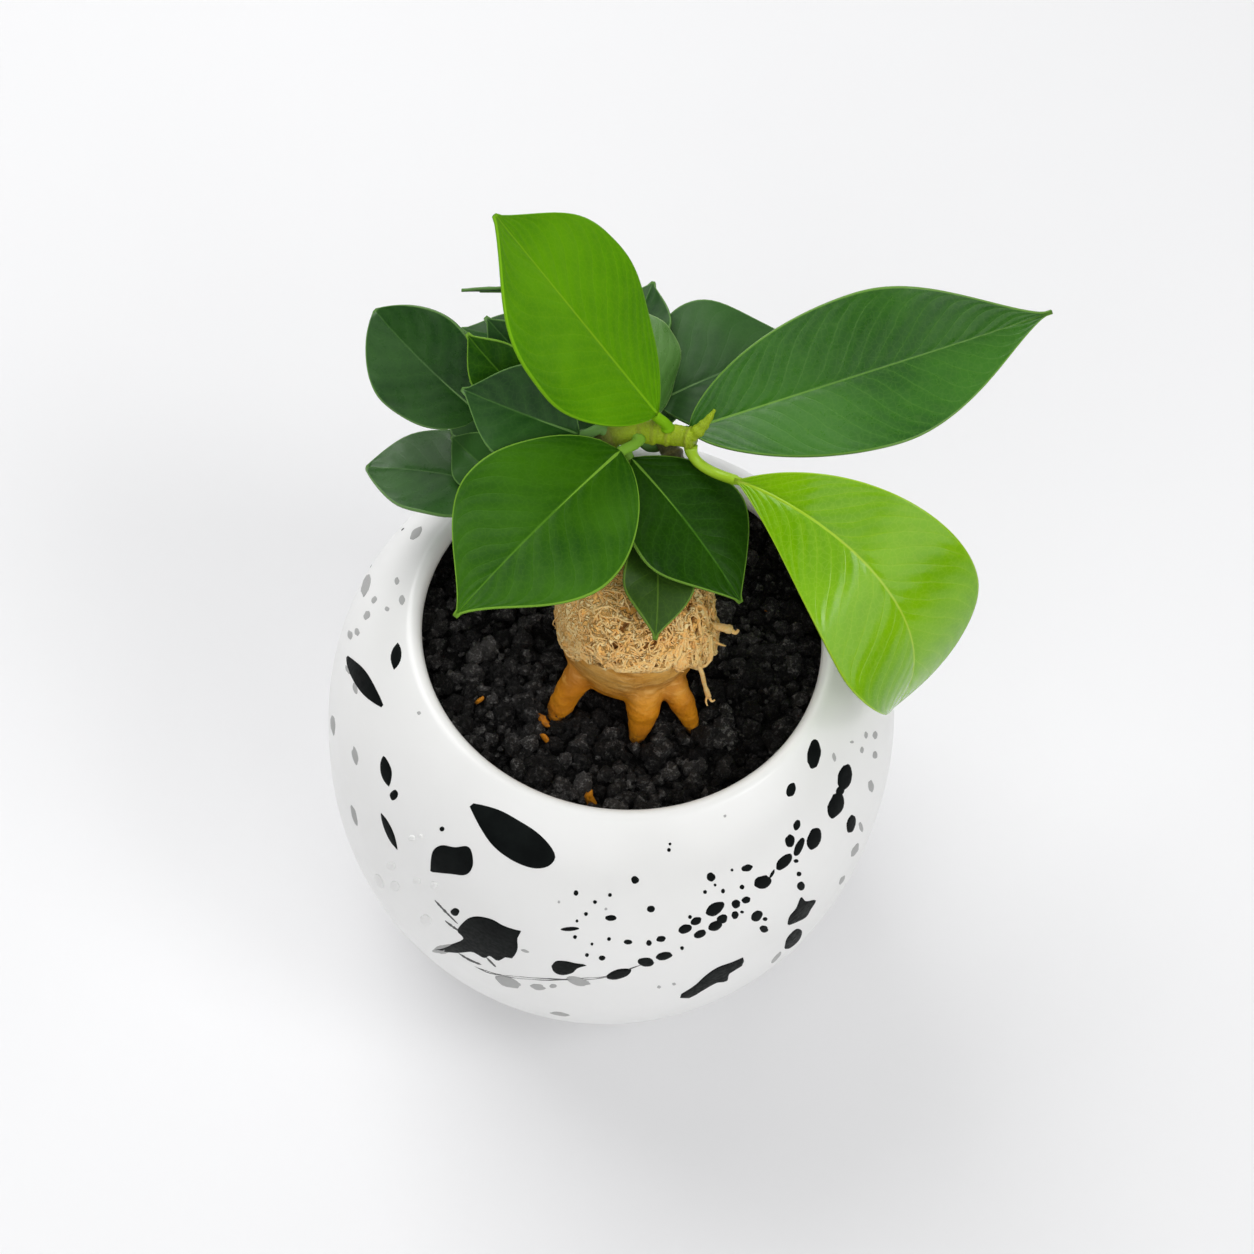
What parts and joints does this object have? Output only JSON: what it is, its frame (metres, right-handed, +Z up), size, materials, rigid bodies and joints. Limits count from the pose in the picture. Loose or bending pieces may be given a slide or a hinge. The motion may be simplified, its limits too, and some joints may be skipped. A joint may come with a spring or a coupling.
{
  "type": "potted ginseng ficus",
  "caption": "Ginseng ficus with a swollen, fibre-coated root trunk and glossy oval leaves, in a round white glazed pot with black splashes, filled with soil.",
  "frame": {"origin": "centre of the pot's flat base", "axes": "+Z up, through the pot's mouth; -Y is the front, towards the viewer; +X is to the viewer's right"},
  "size_m": [0.1234, 0.1138, 0.1655],
  "materials": {
    "glaze": "gloss",
    "soil": "matte",
    "bark": "matte",
    "shoot": "satin",
    "leaf_dark": "satin",
    "leaf_green": "satin",
    "leaf_bright": "satin"
  },
  "bodies": {
    "root": {"pot": "glaze", "soil": "soil", "trunk": "bark", "stem_front": "shoot", "stem_left": "shoot", "stem_back": "shoot", "leaf_top": "leaf_bright", "leaf_right": "leaf_green", "leaf_lime": "leaf_bright", "leaf_front": "leaf_green", "leaf_shaded": "leaf_dark", "leaf_point": "leaf_dark", "leaf_grey": "leaf_dark", "leaf_glossy": "leaf_dark", "leaf_left": "leaf_dark", "leaf_nook": "leaf_dark", "leaf_nook_back": "leaf_dark", "leaf_low_left": "leaf_dark", "leaf_curl": "leaf_dark", "leaf_rear_low": "leaf_dark", "leaf_broad": "leaf_dark", "leaf_peek": "leaf_dark", "leaf_thin": "leaf_dark", "leaf_far_left": "leaf_dark", "leaf_rear": "leaf_dark", "leaf_rear_left": "leaf_dark"}
  },
  "joints": []
}
